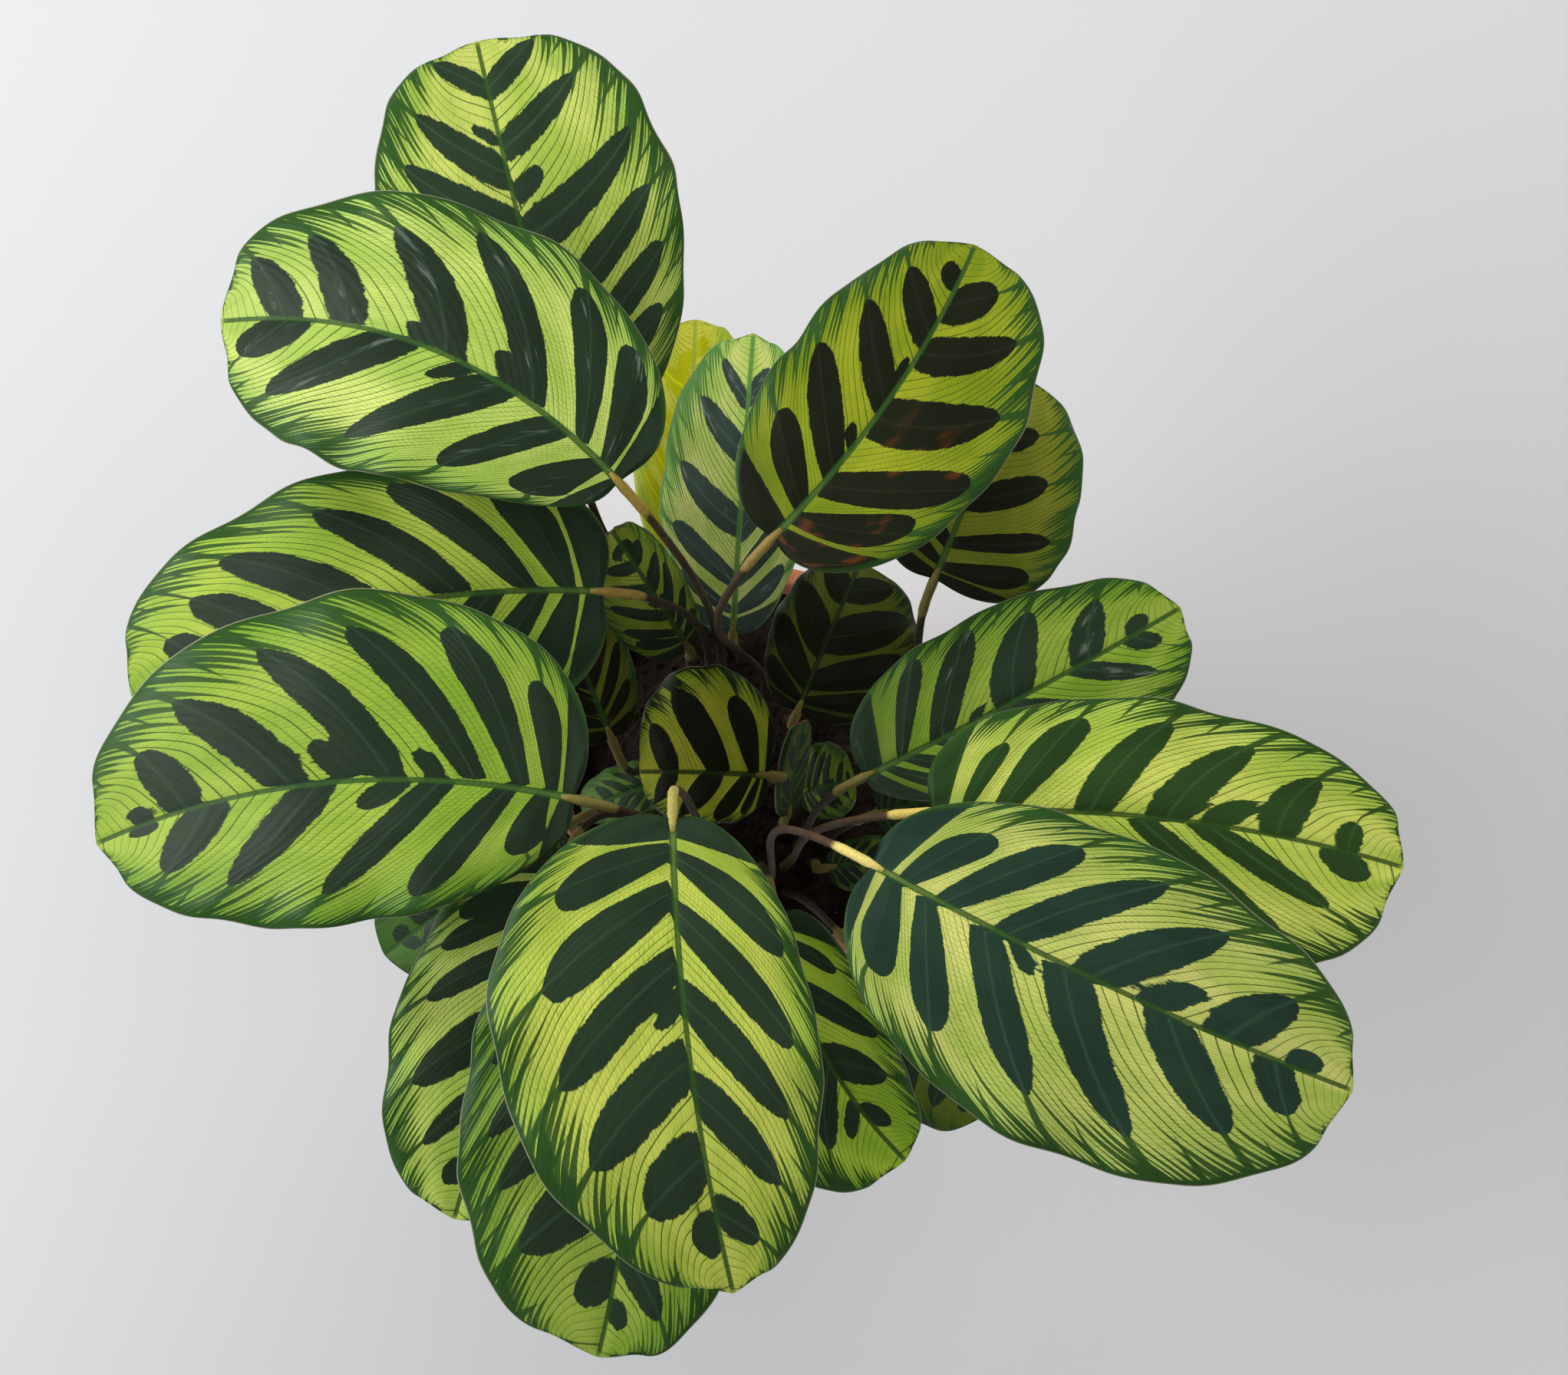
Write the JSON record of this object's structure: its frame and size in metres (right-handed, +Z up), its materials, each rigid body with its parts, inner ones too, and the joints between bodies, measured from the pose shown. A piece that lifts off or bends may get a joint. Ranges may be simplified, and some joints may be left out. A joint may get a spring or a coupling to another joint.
{
  "type": "potted peacock plant",
  "caption": "Bushy foliage plant with broad, banded oval leaves on slender stalks, rooted in soil in a plain tapered terracotta pot.",
  "frame": {"origin": "middle of the pot's flat foot, on the surface that it stands on", "axes": "+Z up along the pot's axis, +X to the right and +Y away from the viewer as the picture shows the plant from above"},
  "size_m": [0.4558, 0.4745, 0.3611],
  "materials": {
    "pot": "matte",
    "soil": "matte",
    "blade": "satin",
    "young_blade": "satin",
    "stalk": "satin"
  },
  "bodies": {
    "root": {"blade_back": "blade", "blade_centre": "blade", "blade_centre_back": "blade", "blade_centre_right": "blade", "blade_folded": "blade", "blade_front": "blade", "blade_front_left_low": "blade", "blade_front_right": "blade", "blade_front_right_low": "blade", "blade_front_under": "blade", "blade_inner_front": "blade", "blade_inner_left": "blade", "blade_inner_right": "blade", "blade_left": "blade", "blade_left_back": "blade", "blade_left_shaded": "blade", "blade_low_centre": "blade", "blade_low_left": "blade", "blade_low_right": "blade", "blade_right": "blade", "blade_right_back": "blade", "blade_small_right": "blade", "blade_upper_left": "blade", "blade_upper_right": "blade", "blade_upper_right_under": "blade", "blade_young_back": "young_blade", "pot": "pot", "soil": "soil", "stalk_back": "stalk", "stalk_centre": "stalk", "stalk_centre_back": "stalk", "stalk_centre_right": "stalk", "stalk_folded": "stalk", "stalk_front": "stalk", "stalk_front_left_low": "stalk", "stalk_front_right": "stalk", "stalk_front_right_low": "stalk", "stalk_front_under": "stalk", "stalk_inner_front": "stalk", "stalk_inner_left": "stalk", "stalk_inner_right": "stalk", "stalk_left": "stalk", "stalk_left_back": "stalk", "stalk_left_shaded": "stalk", "stalk_low_centre": "stalk", "stalk_low_left": "stalk", "stalk_low_right": "stalk", "stalk_right": "stalk", "stalk_right_back": "stalk", "stalk_small_right": "stalk", "stalk_upper_left": "stalk", "stalk_upper_right": "stalk", "stalk_upper_right_under": "stalk", "stalk_young_back": "stalk"}
  },
  "joints": []
}
